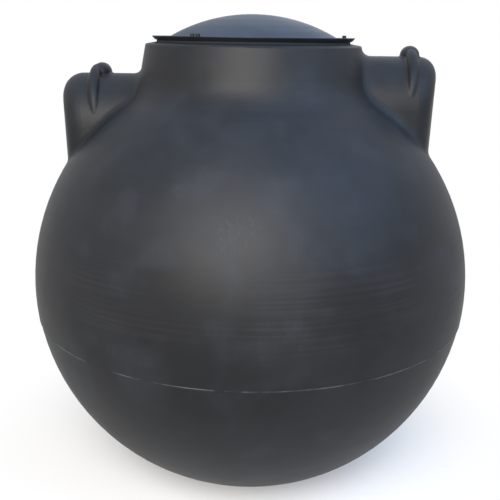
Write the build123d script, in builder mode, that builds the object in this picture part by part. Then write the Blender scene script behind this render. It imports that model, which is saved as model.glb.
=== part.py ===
"""Spherical septic pump tank: one rotationally moulded shell with a screwed-down manway lid.

Millimetres. The origin is the middle of the flat base on the ground, +Z is up, and the
pipe pods point along X: the higher inlet pod towards +X, the outlet pod towards -X.
Heights named ..._rise are measured from the middle of the lower half of the sphere.
"""
from build123d import *
import os
from math import cos, degrees, hypot, radians, sin, sqrt

os.makedirs("parts", exist_ok=True)

# Lower half of the moulded sphere and the flat that it stands on
sphere_radius = 686.0
base_radius = 260.0
base_corner = 22.0
wall = 9.0

# Parting line of the two-part mould. The upper half is a ball of its own, set a little
# lower, and stands proud of the lower half all round
seam_drop = 92.5
seam_step = 2.2
upper_ball_drop = 11.8

# Manway neck, a cone that flares to its foot on the upper ball
neck_radius = 325.5
neck_flare = 28.0
neck_height = 143.8
neck_blend = 130.0
neck_corner = 7.0
neck_lip = 32.5
seat_lift = 5.6
manway_step = 40.0

# Pipe pods: half barrels along X. A pipe fitting is cut into the end on site, which bulges
# in plan and leans in towards its foot. Setbacks are inward from the sphere's radius
pod_radius = 150.0
pod_end_bulge = 295.0
pod_end_lean = 1.2
outlet_setback = 108.0
outlet_crown_drop = 89.5
outlet_corner = 60.0
outlet_blend = 28.0
inlet_setback = 134.0
inlet_crown_drop = 28.5
inlet_corner = 50.0
inlet_blend = 32.0

# Half-round rib over each pod: a hoop whose axis lies above the pod's, so that it sinks
# into the pod's sides, and leans in towards its feet. A thicker lifting ear stands on the
# crown. Insets are inward from the pod's end
rib_height = 27.0
rib_crest_radius = 145.0
rib_lean = 6.0
rib_blend = 8.0
outlet_rib_inset = 103.0
outlet_rib_radius = 16.0
outlet_ear_inset = 115.5
inlet_rib_inset = 79.0
inlet_rib_radius = 16.0
inlet_ear_inset = 76.0
ear_radius = 28.5
ear_height = 31.5
ear_half_length = 46.0
ear_blend = 6.0

# Lid
lid_overhang = 12.0
lid_thickness = 11.0
lid_under_edge = 9.0
lid_flange = 55.0
dome_height = 65.5
dome_wall = 6.0
gasket_setback = 8.0
gasket_overhang = 1.2
gasket_thickness = 6.0

# Lid screws, in pairs
screw_edge_distance = 20.0
screw_places = 3
screw_first_angle = -126.0
screw_pair_spacing = 20.0
screw_shank_radius = 3.0
screw_thread_clearance = 0.05
screw_hole_clearance = 0.5
screw_head_sides = 6
screw_head_flats = 10.0
screw_head_height = 7.0
screw_flange_radius = 6.5
screw_flange_height = 1.5
screw_tip = 8.0

centre_height = sqrt(sphere_radius**2 - base_radius**2)
seat_radius = neck_radius - neck_lip
manway_radius = seat_radius - manway_step
lid_radius = seat_radius + lid_overhang
dome_foot_radius = lid_radius - lid_flange
gasket_inner_radius = manway_radius + gasket_setback
screw_circle_radius = seat_radius - screw_edge_distance
seam_radius = sqrt(sphere_radius**2 - seam_drop**2) + seam_step
upper_ball_radius = hypot(seam_radius, seam_drop - upper_ball_drop)


def upper_ball_rise(radius, inset=0.0):
    """Height of the upper ball's skin, or of a skin inset in it, at a distance from the axis."""
    return sqrt((upper_ball_radius - inset) ** 2 - radius**2) - upper_ball_drop


shoulder_rise = upper_ball_rise(neck_radius + neck_flare) + neck_height
seat_rise = shoulder_rise + seat_lift
seat_height = centre_height + seat_rise
lid_under_height = seat_height + gasket_thickness
lid_top_height = lid_under_height + lid_thickness


def body_of_revolution(inset):
    """Sphere, base and neck turned about the vertical axis, drawn inset inside the skin."""
    lower = sphere_radius - inset
    upper = upper_ball_radius - inset
    floor_rise = inset - centre_height
    floor_radius = sqrt(lower**2 - floor_rise**2)
    seam_lower = sqrt(lower**2 - seam_drop**2)
    seam_upper = sqrt(upper**2 - (seam_drop - upper_ball_drop) ** 2)
    foot_radius = neck_radius + neck_flare - inset
    foot_rise = upper_ball_rise(foot_radius, inset)
    shoulder = (neck_radius - inset, shoulder_rise - inset)
    with BuildPart() as turned:
        with BuildSketch(Plane.XZ) as section:
            with BuildLine():
                Line((0, floor_rise), (floor_radius, floor_rise))
                RadiusArc((floor_radius, floor_rise), (seam_lower, -seam_drop), -lower)
                Line((seam_lower, -seam_drop), (seam_upper, -seam_drop))
                RadiusArc((seam_upper, -seam_drop), (foot_radius, foot_rise), -upper)
                Polyline(
                    (foot_radius, foot_rise),
                    shoulder,
                    (seat_radius - inset, seat_rise - inset),
                    (0, seat_rise - inset),
                    (0, floor_rise),
                )
            make_face()
            base_edge = section.vertices().sort_by_distance((floor_radius, floor_rise))[0]
            fillet(base_edge, base_corner)
            neck_foot = section.vertices().sort_by_distance((foot_radius, foot_rise))[0]
            fillet(neck_foot, neck_blend + inset)
            neck_top = section.vertices().sort_by_distance(shoulder)[0]
            fillet(neck_top, neck_corner)
        revolve(axis=Axis.Z)
    return turned.part


def pod(inset, setback, crown_drop, corner, rib_inset, rib_radius, ear_inset):
    """One pipe pod with its rib and ear, towards +X, drawn inset inside the skin.

    The creases of the rib and the ear are rounded on the skin only, where inset is 0.
    """
    reach = sphere_radius - setback
    rib_at = reach - rib_inset
    ear_at = reach - ear_inset
    crown_rise = shoulder_rise - crown_drop
    axis_rise = crown_rise - pod_radius
    ear_rise = crown_rise + ear_height - ear_radius
    barrel = pod_radius - inset
    end_lean = radians(pod_end_lean)
    bulge_plane = Plane((reach - pod_end_bulge, 0, axis_rise), z_dir=(sin(end_lean), 0, cos(end_lean)))
    hoop_lean = radians(rib_lean)
    hoop_plane = Plane(
        (rib_at, 0, crown_rise), x_dir=(cos(hoop_lean), 0, -sin(hoop_lean)), z_dir=(0, -1, 0)
    )
    hoop_middle = hoop_plane.from_local_coords((0, rib_height - rib_crest_radius, 0))
    with BuildPart() as barrel_end:
        with BuildSketch(Plane.YZ):
            with Locations((0, axis_rise)):
                Circle(barrel)
            Rectangle(2 * barrel, axis_rise, align=(Align.CENTER, Align.MIN))
        extrude(amount=sphere_radius)
        with BuildSketch(bulge_plane):
            Circle(pod_end_bulge - inset)
        extrude(amount=crown_rise, both=True, mode=Mode.INTERSECT)
        # All of the end's rim but its foot, which lies inside the sphere
        end_face = barrel_end.faces().sort_by(Axis.X)[-1]
        fillet(end_face.edges().sort_by(Axis.Z)[-3:], corner - inset)
        with BuildSketch(hoop_plane):
            with Locations((0, rib_height - rib_radius)):
                Circle(rib_radius - inset)
        revolve(axis=Axis(hoop_middle, hoop_plane.x_dir))
        if inset == 0:
            fillet(barrel_end.edges(Select.NEW), rib_blend)
        with BuildSketch(Plane.YZ.offset(ear_at)):
            with BuildLine():
                ear_line = EllipticalCenterArc(
                    (0, ear_rise), ear_half_length - inset, ear_radius - inset, start_angle=180, arc_size=180
                )
                Line(ear_line @ 1, ear_line @ 0)
            make_face()
        revolve(axis=Axis((ear_at, 0, ear_rise), (0, 1, 0)))
        if inset == 0:
            fillet(barrel_end.edges(Select.NEW), ear_blend)
    return barrel_end.part


def tank_form(inset):
    """The whole moulding as a solid, drawn inset inside its outer skin."""
    inlet = pod(
        inset,
        inlet_setback,
        inlet_crown_drop,
        inlet_corner,
        inlet_rib_inset,
        inlet_rib_radius,
        inlet_ear_inset,
    )
    outlet = pod(
        inset,
        outlet_setback,
        outlet_crown_drop,
        outlet_corner,
        outlet_rib_inset,
        outlet_rib_radius,
        outlet_ear_inset,
    )
    with BuildPart() as form:
        add(body_of_revolution(inset))
        add(inlet)
        fillet(form.edges(Select.NEW), inlet_blend + inset)
        add(outlet.rotate(Axis.Z, 180))
        fillet(form.edges(Select.NEW), outlet_blend + inset)
    return form.part


screw_plane = Plane.XY.offset(lid_top_height)
screw_half_angle = degrees(screw_pair_spacing / 2 / screw_circle_radius)
screw_angles = [
    screw_first_angle + place * 360 / screw_places + side * screw_half_angle
    for place in range(screw_places)
    for side in (-1, 1)
]
screw_spots = [Vector(screw_circle_radius, 0).rotate(Axis.Z, angle) for angle in screw_angles]
screw_spots = [(spot.X, spot.Y) for spot in screw_spots]

with BuildPart() as tank_shell:
    add(tank_form(0).moved(Location((0, 0, centre_height))))
    add(tank_form(wall).moved(Location((0, 0, centre_height))), mode=Mode.SUBTRACT)
    # Manway and screw holes, cut right through the seat
    with BuildSketch(Plane.XY.offset(seat_height)):
        Circle(manway_radius)
        with Locations(*screw_spots):
            Circle(screw_shank_radius + screw_thread_clearance)
    extrude(amount=-2 * wall, mode=Mode.SUBTRACT)
tank_shell.part.label = "tank_shell"
export_step(tank_shell.part, "parts/tank_shell.step")

with BuildPart() as lid_gasket:
    with BuildSketch(Plane.XY.offset(seat_height)):
        Circle(seat_radius - gasket_overhang)
        Circle(gasket_inner_radius, mode=Mode.SUBTRACT)
        with Locations(*screw_spots):
            Circle(screw_shank_radius + screw_hole_clearance, mode=Mode.SUBTRACT)
    extrude(amount=gasket_thickness)
lid_gasket.part.label = "lid_gasket"
export_step(lid_gasket.part, "parts/lid_gasket.step")

dome_ball = (dome_foot_radius**2 + dome_height**2) / (2 * dome_height)
dome_centre = lid_top_height + dome_height - dome_ball
dome_inner = dome_ball - dome_wall
inner_foot = sqrt(dome_inner**2 - (lid_under_height - dome_centre) ** 2)
with BuildPart() as manway_lid:
    with BuildSketch(Plane.XZ):
        with BuildLine():
            Line((0, dome_centre + dome_inner), (0, dome_centre + dome_ball))
            RadiusArc((0, dome_centre + dome_ball), (dome_foot_radius, lid_top_height), dome_ball)
            Polyline(
                (dome_foot_radius, lid_top_height),
                (lid_radius, lid_top_height),
                (lid_radius, lid_under_height + lid_under_edge),
                (lid_radius - lid_under_edge, lid_under_height),
                (inner_foot, lid_under_height),
            )
            RadiusArc((inner_foot, lid_under_height), (0, dome_centre + dome_inner), -dome_inner)
        make_face()
    revolve(axis=Axis.Z)
    with BuildSketch(screw_plane):
        with Locations(*screw_spots):
            Circle(screw_shank_radius + screw_hole_clearance)
    extrude(amount=-lid_thickness, mode=Mode.SUBTRACT)
manway_lid.part.label = "manway_lid"
export_step(manway_lid.part, "parts/manway_lid.step")

for number, spot in enumerate(screw_spots, start=1):
    with BuildPart() as screw:
        with BuildSketch(screw_plane):
            with Locations(spot):
                Circle(screw_flange_radius)
        extrude(amount=screw_flange_height)
        with BuildSketch(screw_plane.offset(screw_flange_height)):
            with Locations(spot):
                RegularPolygon(screw_head_flats / 2, screw_head_sides, major_radius=False)
        extrude(amount=screw_head_height - screw_flange_height)
        with BuildSketch(screw_plane):
            with Locations(spot):
                Circle(screw_shank_radius)
        extrude(amount=-(lid_thickness + gasket_thickness + wall + screw_tip))
    screw.part.label = f"lid_screw_{number}"
    export_step(screw.part, f"parts/lid_screw_{number}.step")
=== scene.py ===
"""Looks of the spherical septic pump tank: black moulded polyethylene in a white studio.

Metres, +Z up. The tank stands on the floor at z = 0 with its pipe pods along X, and the
photograph is taken from -Y.
"""
import math

import bpy
import numpy as np
from mathutils import Matrix, Vector

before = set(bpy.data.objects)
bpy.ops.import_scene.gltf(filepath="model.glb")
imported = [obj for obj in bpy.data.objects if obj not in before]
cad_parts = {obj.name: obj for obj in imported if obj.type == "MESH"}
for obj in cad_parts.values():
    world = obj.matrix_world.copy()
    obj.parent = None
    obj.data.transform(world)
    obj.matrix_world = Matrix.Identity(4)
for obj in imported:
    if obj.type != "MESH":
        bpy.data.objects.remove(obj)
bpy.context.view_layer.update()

MM = 0.001


def direction(azimuth, elevation):
    """Unit vector, in degrees to the right of the photograph's side and above the level."""
    azimuth = math.radians(azimuth)
    elevation = math.radians(elevation)
    right = math.sin(azimuth) * math.cos(elevation)
    back = -math.cos(azimuth) * math.cos(elevation)
    return Vector((right, back, math.sin(elevation)))


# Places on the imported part
SPHERE_RADIUS = 686 * MM
BASE_RADIUS = 260 * MM
SEAM_DROP = 92.5 * MM
SPHERE_CENTRE = Vector((0, 0, math.sqrt(SPHERE_RADIUS**2 - BASE_RADIUS**2)))
SEAM_HEIGHT = SPHERE_CENTRE.z - SEAM_DROP

# Camera of the photograph, placed and aimed from the middle of the sphere's lower half
CAMERA_DIRECTION = direction(0, 18.26)
CAMERA_DISTANCE = 2.3936
CAMERA_AIM = Vector((-0.0019, 0.0, 0.0687))
CAMERA_ROLL = math.radians(0.8)
FOCAL_PIXELS = 719.0
PHOTO_PIXELS = 500
SENSOR_WIDTH = 36.0

# White studio. The room is white to the eye and dimmer in the light that it gives, and the
# floor turns from paper to plain white with distance from the tank
ROOM_LIGHT = 0.3
FLOOR_RADIUS = 9.0
FLOOR_SIDES = 96
FLOOR_FADE_START = 0.35
FLOOR_FADE_END = 1.05
FLOOR_LEAST_WHITE = 0.3

# Moulded polyethylene. Its sides reflect something dark in the photograph, and a specular
# level under half the usual one keeps the white studio from greying them. Its roughness
# strays a little either way from patch to patch
POLYETHYLENE_IOR = 1.51
POLYETHYLENE_SPECULAR = 0.2
COOLING_PATCH = 240 * MM
GLOSSIER_BY = 0.03
DULLER_BY = 0.04

# Rings that the turned mould prints on the skin, most of all on a belt of the sphere.
# Here and below, a tint is the most of the mark's colour that is mixed in
RING_SPACING = 8 * MM
RING_CHANGES_PER_METRE = 1.8
RING_RISE = 0.025 * MM
RING_DULLING = 0.055
RING_COLOUR = "#45464a"
RING_TINT = 0.085
BELT_LOW = SPHERE_CENTRE.z + 25 * MM
BELT_HIGH = SPHERE_CENTRE.z + 180 * MM
BELT_FADE = 45 * MM
RINGS_OFF_BELT = 0.2

# Smears from wet hands and straps
SMEAR_PATCH = 110 * MM
SMEAR_COLOUR = "#31383f"
SMEAR_TINT = 0.16

# Upright scuffs, and the spot on the front where a strap or a lifting fork chafed the sphere.
# Real scuffs are finer, and are drawn coarse enough to show
SCUFF_WIDTH = 6 * MM
SCUFF_LENGTH = 25 * MM
SCUFF_DEPTH = 0.18 * MM
SCUFF_COLOUR = "#55565a"
SCUFF_TINT = 0.10
SCUFFS_OFF_RUB = 0.4
RUB_SPOT = SPHERE_CENTRE + SPHERE_RADIUS * direction(-3.5, 26)
RUB_RADIUS = 85 * MM
RUB_CORE = 0.3 * RUB_RADIUS

# Dust mixed with a painted bluish sky reflection, and the rubbed edge of the parting line
DUST_AND_PAINTED_SKY_PATCH = 60 * MM
SEAM_CORE = 0.8 * MM
SEAM_REACH = 3.6 * MM
SEAM_PATCH = 95 * MM
SEAM_COLOUR = "#525355"
SEAM_TINT = 0.8

# Relief of the cooled skin. Real orange peel is finer, and is drawn coarse enough to show
WAVE_LENGTH = 170 * MM
WAVE_RISE = 2 * MM
PEEL_SIZE = 9 * MM
PEEL_RISE = 0.08 * MM

# Foam strip and screws
FOAM_CELL = 2.5 * MM
FOAM_CELL_DEPTH = 0.5 * MM
STEEL_WEAR_PATCH = 3 * MM

# Kinds of node that come up again and again. A noise lies mostly between 0.3 and 0.7, and
# the From Min and From Max of a range say how much of it shows
PLACE = "ShaderNodeTexCoord"
NOISE = "ShaderNodeTexNoise"
MAPPING = "ShaderNodeMapping"
SPLIT = "ShaderNodeSeparateXYZ"
MATH = "ShaderNodeMath"
VECTOR_MATH = "ShaderNodeVectorMath"
RANGE = "ShaderNodeMapRange"
MIX = "ShaderNodeMix"
BUMP = "ShaderNodeBump"
PRINCIPLED = "ShaderNodeBsdfPrincipled"
SURFACE_END = "ShaderNodeOutputMaterial"
SMOOTH = "SMOOTHSTEP"


def linear(hex_colour):
    """sRGB hex, such as "#1c1d1f", to the linear colour that a shader socket takes."""
    parts = [int(hex_colour[i : i + 2], 16) / 255 for i in (1, 3, 5)]
    parts = [c / 12.92 if c <= 0.04045 else ((c + 0.055) / 1.055) ** 2.4 for c in parts]
    return (*parts, 1.0)


def put(tree, kind, values=None, **settings):
    """Adds one node. A value is a number or colour, or the node or output that feeds the input."""
    made = tree.nodes.new(kind)
    for setting, value in settings.items():
        setattr(made, setting, value)
    for socket, value in (values or {}).items():
        if isinstance(value, bpy.types.Node):
            value = next(output for output in value.outputs if output.enabled)
        if isinstance(value, bpy.types.NodeSocket):
            tree.links.new(value, made.inputs[socket])
        else:
            made.inputs[socket].default_value = value
    return made


def new_material(name):
    """An empty node material and its tree."""
    material = bpy.data.materials.new(name)
    material.use_nodes = True
    material.node_tree.nodes.clear()
    return material, material.node_tree


def mould_rings(tree, spot, height, cooling, on_sphere):
    """Level rings that the turned mould prints: their pattern, and how much they show."""
    across = RING_CHANGES_PER_METRE
    level = put(tree, MAPPING, {"Vector": spot, "Scale": (across, across, 1 / RING_SPACING)})
    rings = put(tree, NOISE, {"Vector": level, "Scale": 1.0, "Detail": 3.0})
    lines = put(
        tree,
        RANGE,
        {"Value": rings, "From Min": 0.42, "From Max": 0.68},
        interpolation_type=SMOOTH,
    )
    places = put(
        tree,
        RANGE,
        {"Value": cooling, "From Min": 0.35, "From Max": 0.60, "To Min": 0.35},
        interpolation_type=SMOOTH,
    )
    showing = put(tree, MATH, {0: lines, 1: places}, operation="MULTIPLY")
    if on_sphere:
        rising = {
            "Value": height,
            "From Min": BELT_LOW - BELT_FADE,
            "From Max": BELT_LOW,
            "To Min": RINGS_OFF_BELT,
        }
        falling = {
            "Value": height,
            "From Min": BELT_HIGH,
            "From Max": BELT_HIGH + BELT_FADE,
            "To Min": 1.0,
            "To Max": RINGS_OFF_BELT,
        }
        above_low = put(tree, RANGE, rising, interpolation_type=SMOOTH)
        below_high = put(tree, RANGE, falling, interpolation_type=SMOOTH)
        on_belt = put(tree, MATH, {0: above_low, 1: below_high}, operation="MULTIPLY")
        showing = put(tree, MATH, {0: showing, 1: on_belt}, operation="MULTIPLY")
    return rings, showing


def upright_scuffs(tree, spot, smears, on_sphere):
    """Short upright scuffs, in a few smeared places and most of all at the rubbed spot."""
    fine = 1 / SCUFF_WIDTH
    upright = put(tree, MAPPING, {"Vector": spot, "Scale": (fine, fine, 1 / SCUFF_LENGTH)})
    strokes = put(
        tree, NOISE, {"Vector": upright, "Scale": 1.0, "Detail": 3.0, "Distortion": 0.5}
    )
    lines = put(
        tree,
        RANGE,
        {"Value": strokes, "From Min": 0.50, "From Max": 0.72},
        interpolation_type=SMOOTH,
    )
    places = put(
        tree,
        RANGE,
        {"Value": smears, "From Min": 0.54, "From Max": 0.66, "To Max": SCUFFS_OFF_RUB},
        interpolation_type=SMOOTH,
    )
    if on_sphere:
        off_rub = put(tree, VECTOR_MATH, {0: spot, 1: RUB_SPOT}, operation="DISTANCE")
        fading = {
            "Value": off_rub,
            "From Min": RUB_CORE,
            "From Max": RUB_RADIUS,
            "To Min": 1.0,
            "To Max": 0.0,
        }
        rub = put(tree, RANGE, fading, interpolation_type=SMOOTH)
        places = put(tree, MATH, {0: places, 1: rub}, operation="MAXIMUM")
    return put(tree, MATH, {0: lines, 1: places}, operation="MULTIPLY")


def dust_and_painted_sky(tree, spot, facing_up, most):
    """Share of dust and painted sky reflection: none on the sides, the most where the skin faces
    up, a little patchy.
    """
    upward = put(
        tree,
        RANGE,
        {"Value": facing_up, "From Min": 0.2, "From Max": 1.0, "To Max": most},
        interpolation_type=SMOOTH,
    )
    patches = put(tree, NOISE, {"Vector": spot, "Scale": 1 / DUST_AND_PAINTED_SKY_PATCH, "Detail": 6.0})
    patchy_cover = put(
        tree,
        RANGE,
        {"Value": patches, "From Min": 0.25, "From Max": 0.75, "To Min": 0.65},
        interpolation_type=SMOOTH,
    )
    return put(tree, MATH, {0: upward, 1: patchy_cover}, operation="MULTIPLY")


def rubbed_seam(tree, spot, height):
    """Share of the parting line's edge, rubbed pale for most of the way round."""
    off_seam = put(tree, MATH, {0: height, 1: SEAM_HEIGHT}, operation="SUBTRACT")
    off_seam = put(tree, MATH, {0: off_seam}, operation="ABSOLUTE")
    fading = {
        "Value": off_seam,
        "From Min": SEAM_CORE,
        "From Max": SEAM_REACH,
        "To Min": 1.0,
        "To Max": 0.0,
    }
    near = put(tree, RANGE, fading, interpolation_type=SMOOTH)
    patches = put(tree, NOISE, {"Vector": spot, "Scale": 1 / SEAM_PATCH, "Detail": 5.0})
    rubbed = put(
        tree,
        RANGE,
        {"Value": patches, "From Min": 0.38, "From Max": 0.60, "To Max": SEAM_TINT},
        interpolation_type=SMOOTH,
    )
    return put(tree, MATH, {0: near, 1: rubbed}, operation="MULTIPLY")


def skin_relief(tree, spot, rings, scuffs):
    """Relief in metres: slow waves of the cooled skin, orange peel and rings, less the scuffs."""
    waves = put(tree, NOISE, {"Vector": spot, "Scale": 1 / WAVE_LENGTH, "Detail": 2.0})
    peel = put(tree, NOISE, {"Vector": spot, "Scale": 1 / PEEL_SIZE, "Detail": 3.0})
    rises = [(waves, WAVE_RISE), (peel, PEEL_RISE), (rings, RING_RISE), (scuffs, -SCUFF_DEPTH)]
    relief = 0.0
    for pattern, rise in rises:
        relief = put(tree, MATH, {0: pattern, 1: rise, 2: relief}, operation="MULTIPLY_ADD")
    return put(tree, BUMP, {"Height": relief, "Strength": 1.0, "Distance": 1.0})


def moulded_polyethylene(name, resin, resin_pale, dust_and_painted_sky_colour, dust_and_painted_sky_most, roughness, on_sphere):
    """Rotationally moulded black polyethylene.

    The powder melts against the mould, so the skin is closed and semi-matt, softly wavy from
    the cooling, with a fine orange peel. The turned mould prints faint level rings, most of
    all on the sphere's belt. Handling leaves pale smears and scuffs, and the parting line is
    rubbed pale. Where the skin faces up, a thin dust is mixed with a painted bluish sky
    reflection.
    """
    material, tree = new_material(name)
    place = put(tree, PLACE)
    spot = place.outputs["Object"]
    height = put(tree, SPLIT, {"Vector": spot}).outputs["Z"]
    facing_up = put(tree, SPLIT, {"Vector": place.outputs["Normal"]}).outputs["Z"]

    # What the moulding and the handling left on the skin
    cooling = put(tree, NOISE, {"Vector": spot, "Scale": 1 / COOLING_PATCH, "Detail": 4.0})
    smears = put(
        tree, NOISE, {"Vector": spot, "Scale": 1 / SMEAR_PATCH, "Detail": 3.0, "Roughness": 0.4}
    )
    rings, rings_showing = mould_rings(tree, spot, height, cooling, on_sphere)
    scuffs = upright_scuffs(tree, spot, smears, on_sphere)

    # Share of each of them in the colour
    pale_share = put(
        tree,
        RANGE,
        {"Value": cooling, "From Min": 0.38, "From Max": 0.62},
        interpolation_type=SMOOTH,
    )
    smear_share = put(
        tree,
        RANGE,
        {"Value": smears, "From Min": 0.48, "From Max": 0.78, "To Max": SMEAR_TINT},
        interpolation_type=SMOOTH,
    )
    ring_share = put(tree, MATH, {0: rings_showing, 1: RING_TINT}, operation="MULTIPLY")
    scuff_share = put(tree, MATH, {0: scuffs, 1: SCUFF_TINT}, operation="MULTIPLY")
    # Dust mixed with a painted bluish sky reflection, strongest where the skin faces up
    dust_and_painted_sky_share = dust_and_painted_sky(tree, spot, facing_up, dust_and_painted_sky_most)

    # Colour, from the bare resin up
    layers = [
        (pale_share, resin_pale),
        (ring_share, RING_COLOUR),
        (smear_share, SMEAR_COLOUR),
        (scuff_share, SCUFF_COLOUR),
        (dust_and_painted_sky_share, dust_and_painted_sky_colour),
    ]
    if on_sphere:
        layers.append((rubbed_seam(tree, spot, height), SEAM_COLOUR))
    colour = linear(resin)
    for share, tint in layers:
        mixed = {"Factor": share, "A": colour, "B": linear(tint)}
        colour = put(tree, MIX, mixed, data_type="RGBA")

    # Sheen, uneven where the skin cooled unevenly, and duller on the rings, which stripes
    # the highlight
    sheen = {
        "Value": cooling,
        "From Min": 0.3,
        "From Max": 0.7,
        "To Min": roughness - GLOSSIER_BY,
        "To Max": roughness + DULLER_BY,
    }
    dulled = {0: rings_showing, 1: RING_DULLING, 2: put(tree, RANGE, sheen)}
    skin = {
        "Base Color": colour,
        "Roughness": put(tree, MATH, dulled, operation="MULTIPLY_ADD"),
        "IOR": POLYETHYLENE_IOR,
        "Specular IOR Level": POLYETHYLENE_SPECULAR,
        "Normal": skin_relief(tree, spot, rings, scuffs),
    }
    put(tree, SURFACE_END, {"Surface": put(tree, PRINCIPLED, skin, distribution="GGX")})
    return material


def foam_strip():
    """Closed-cell foam gasket: dull black, slightly mottled by its cut cells.

    Real cells are finer, and are drawn coarse enough to show.
    """
    material, tree = new_material("closed_cell_foam")
    spot = put(tree, PLACE).outputs["Object"]
    cells = put(tree, "ShaderNodeTexVoronoi", {"Vector": spot, "Scale": 1 / FOAM_CELL})
    mottled = {"Factor": cells, "A": linear("#0b0b0c"), "B": linear("#18181a")}
    skin = {
        "Base Color": put(tree, MIX, mottled, data_type="RGBA"),
        "Roughness": 0.9,
        "Normal": put(
            tree, BUMP, {"Height": cells, "Strength": 0.4, "Distance": FOAM_CELL_DEPTH}
        ),
    }
    put(tree, SURFACE_END, {"Surface": put(tree, PRINCIPLED, skin)})
    return material


def coated_steel():
    """Black e-coated steel screw: an even dark coat, worn to grey in small patches."""
    material, tree = new_material("black_coated_steel")
    spot = put(tree, PLACE).outputs["Object"]
    wear = put(tree, NOISE, {"Vector": spot, "Scale": 1 / STEEL_WEAR_PATCH, "Detail": 3.0})
    worn = put(
        tree,
        RANGE,
        {"Value": wear, "From Min": 0.55, "From Max": 0.75, "To Max": 0.3},
        interpolation_type=SMOOTH,
    )
    coat = {"Factor": worn, "A": linear("#0b0b0d"), "B": linear("#2b2c2f")}
    sheen = {"Value": wear, "From Min": 0.3, "From Max": 0.7, "To Min": 0.50, "To Max": 0.65}
    skin = {
        "Base Color": put(tree, MIX, coat, data_type="RGBA"),
        "Roughness": put(tree, RANGE, sheen),
        "Specular IOR Level": 0.25,
    }
    put(tree, SURFACE_END, {"Surface": put(tree, PRINCIPLED, skin)})
    return material


def dress_nodes():
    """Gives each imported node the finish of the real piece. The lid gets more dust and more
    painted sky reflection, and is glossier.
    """
    shell = moulded_polyethylene(
        "moulded_polyethylene_shell",
        resin="#131416",
        resin_pale="#191a1d",
        # This bluish colour and share are dust together with a painted sky reflection on up-facing
        # skin
        dust_and_painted_sky_colour="#36495f",
        dust_and_painted_sky_most=0.13,
        roughness=0.51,
        on_sphere=True,
    )
    lid = moulded_polyethylene(
        "moulded_polyethylene_lid",
        resin="#15181d",
        resin_pale="#1b1f25",
        # This bluish colour and share are dust together with a painted sky reflection on the
        # up-facing dome
        dust_and_painted_sky_colour="#465f7a",
        dust_and_painted_sky_most=0.32,
        roughness=0.46,
        on_sphere=False,
    )
    finishes = {"tank_shell": shell, "manway_lid": lid, "lid_gasket": foam_strip()}
    screw_finish = coated_steel()
    for name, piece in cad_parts.items():
        piece.material_slots[0].material = finishes.get(name, screw_finish)


def seen_rays(tree):
    """1 on the rays that show a thing as such: the camera's own, and those of gloss and glass."""
    ray = put(tree, "ShaderNodeLightPath").outputs
    camera, gloss, glass = ray["Is Camera Ray"], ray["Is Glossy Ray"], ray["Is Transmission Ray"]
    camera_or_gloss = put(tree, MATH, {0: camera, 1: gloss}, operation="ADD")
    return put(tree, MATH, {0: camera_or_gloss, 1: glass}, operation="ADD", use_clamp=True)


def lay_floor():
    """White studio floor: a flat disc whose rim is points at even turns round a circle.

    It keeps the tank's shadow, and fades into the background away from it.
    """
    turns = np.linspace(0, 2 * np.pi, FLOOR_SIDES, endpoint=False)
    rim = np.stack([np.cos(turns), np.sin(turns), np.zeros_like(turns)], axis=1) * FLOOR_RADIUS
    mesh = bpy.data.meshes.new("studio_floor")
    mesh.from_pydata(rim.tolist(), [], [list(range(FLOOR_SIDES))])
    floor = bpy.data.objects.new("studio_floor", mesh)
    bpy.context.collection.objects.link(floor)
    material, tree = new_material("matt_white_paper")
    spot = put(tree, PLACE).outputs["Object"]
    fading = {
        "Value": put(tree, VECTOR_MATH, {0: spot}, operation="LENGTH"),
        "From Min": FLOOR_FADE_START,
        "From Max": FLOOR_FADE_END,
        "To Min": FLOOR_LEAST_WHITE,
    }
    faded = put(tree, RANGE, fading, interpolation_type=SMOOTH)
    white_share = put(tree, MATH, {0: faded, 1: seen_rays(tree)}, operation="MULTIPLY")
    paper = put(tree, "ShaderNodeBsdfDiffuse", {"Color": linear("#f2f2f2")})
    white = put(tree, "ShaderNodeEmission", {"Color": linear("#ffffff"), "Strength": 1.0})
    both = put(tree, "ShaderNodeMixShader", {0: white_share, 1: paper, 2: white})
    put(tree, SURFACE_END, {"Surface": both})
    mesh.materials.append(material)


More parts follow.
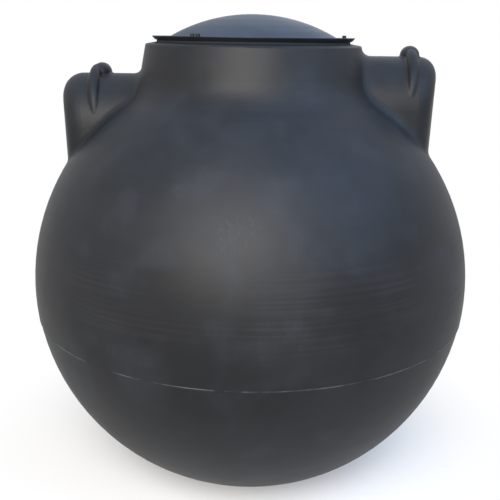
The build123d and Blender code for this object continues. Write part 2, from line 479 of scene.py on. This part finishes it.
def hang_lamp(name, towards, distance, size, watts, colour):
    """Soft box in a direction from the sphere's middle, turned to face it."""
    lamp = bpy.data.lights.new(name, "AREA")
    lamp.shape = "RECTANGLE"
    lamp.size, lamp.size_y = size
    lamp.energy = watts
    lamp.color = linear(colour)[:3]
    holder = bpy.data.objects.new(name, lamp)
    holder.location = SPHERE_CENTRE + towards * distance
    holder.rotation_euler = (-towards).to_track_quat("-Z", "Y").to_euler()
    bpy.context.collection.objects.link(holder)


def light_studio():
    """White background, a soft box over the camera, a cool one on the right and one behind."""
    world = bpy.data.worlds.new("white_studio")
    bpy.context.scene.world = world
    world.use_nodes = True
    tree = world.node_tree
    tree.nodes.clear()
    white = put(tree, "ShaderNodeBackground", {"Color": linear("#ffffff"), "Strength": 1.0})
    room = put(tree, "ShaderNodeBackground", {"Color": linear("#f4f7ff"), "Strength": ROOM_LIGHT})
    both = put(tree, "ShaderNodeMixShader", {0: seen_rays(tree), 1: room, 2: white})
    put(tree, "ShaderNodeOutputWorld", {"Surface": both})
    hang_lamp(
        "front_soft_box",
        towards=direction(-9, 31),
        distance=3.2,
        size=(2.2, 1.6),
        watts=165,
        colour="#fffaf4",
    )
    hang_lamp(
        "sky_side_soft_box",
        towards=direction(54, 40),
        distance=3.4,
        size=(2.4, 2.4),
        watts=72,
        colour="#8cbcf5",
    )
    hang_lamp(
        "back_soft_box",
        towards=direction(168, 30),
        distance=3.6,
        size=(2.4, 2.0),
        watts=15,
        colour="#e6eeff",
    )


def set_camera():
    """Camera at the photograph's place, rolled a little as the photograph is."""
    sight = CAMERA_DISTANCE * CAMERA_DIRECTION
    forward = (CAMERA_AIM - sight).normalized()
    level = forward.cross(Vector((0, 0, 1))).normalized()
    upright = level.cross(forward)
    right = level * math.cos(CAMERA_ROLL) + upright * math.sin(CAMERA_ROLL)
    up = upright * math.cos(CAMERA_ROLL) - level * math.sin(CAMERA_ROLL)
    turn = Matrix((right, up, -forward)).transposed().to_4x4()
    turn.translation = SPHERE_CENTRE + sight
    lens = bpy.data.cameras.new("photo_camera")
    lens.sensor_width = SENSOR_WIDTH
    lens.lens = SENSOR_WIDTH * FOCAL_PIXELS / PHOTO_PIXELS
    camera = bpy.data.objects.new("photo_camera", lens)
    camera.matrix_world = turn
    bpy.context.collection.objects.link(camera)
    bpy.context.scene.camera = camera


bpy.context.scene.view_settings.view_transform = "Standard"
set_camera()
light_studio()
lay_floor()
dress_nodes()
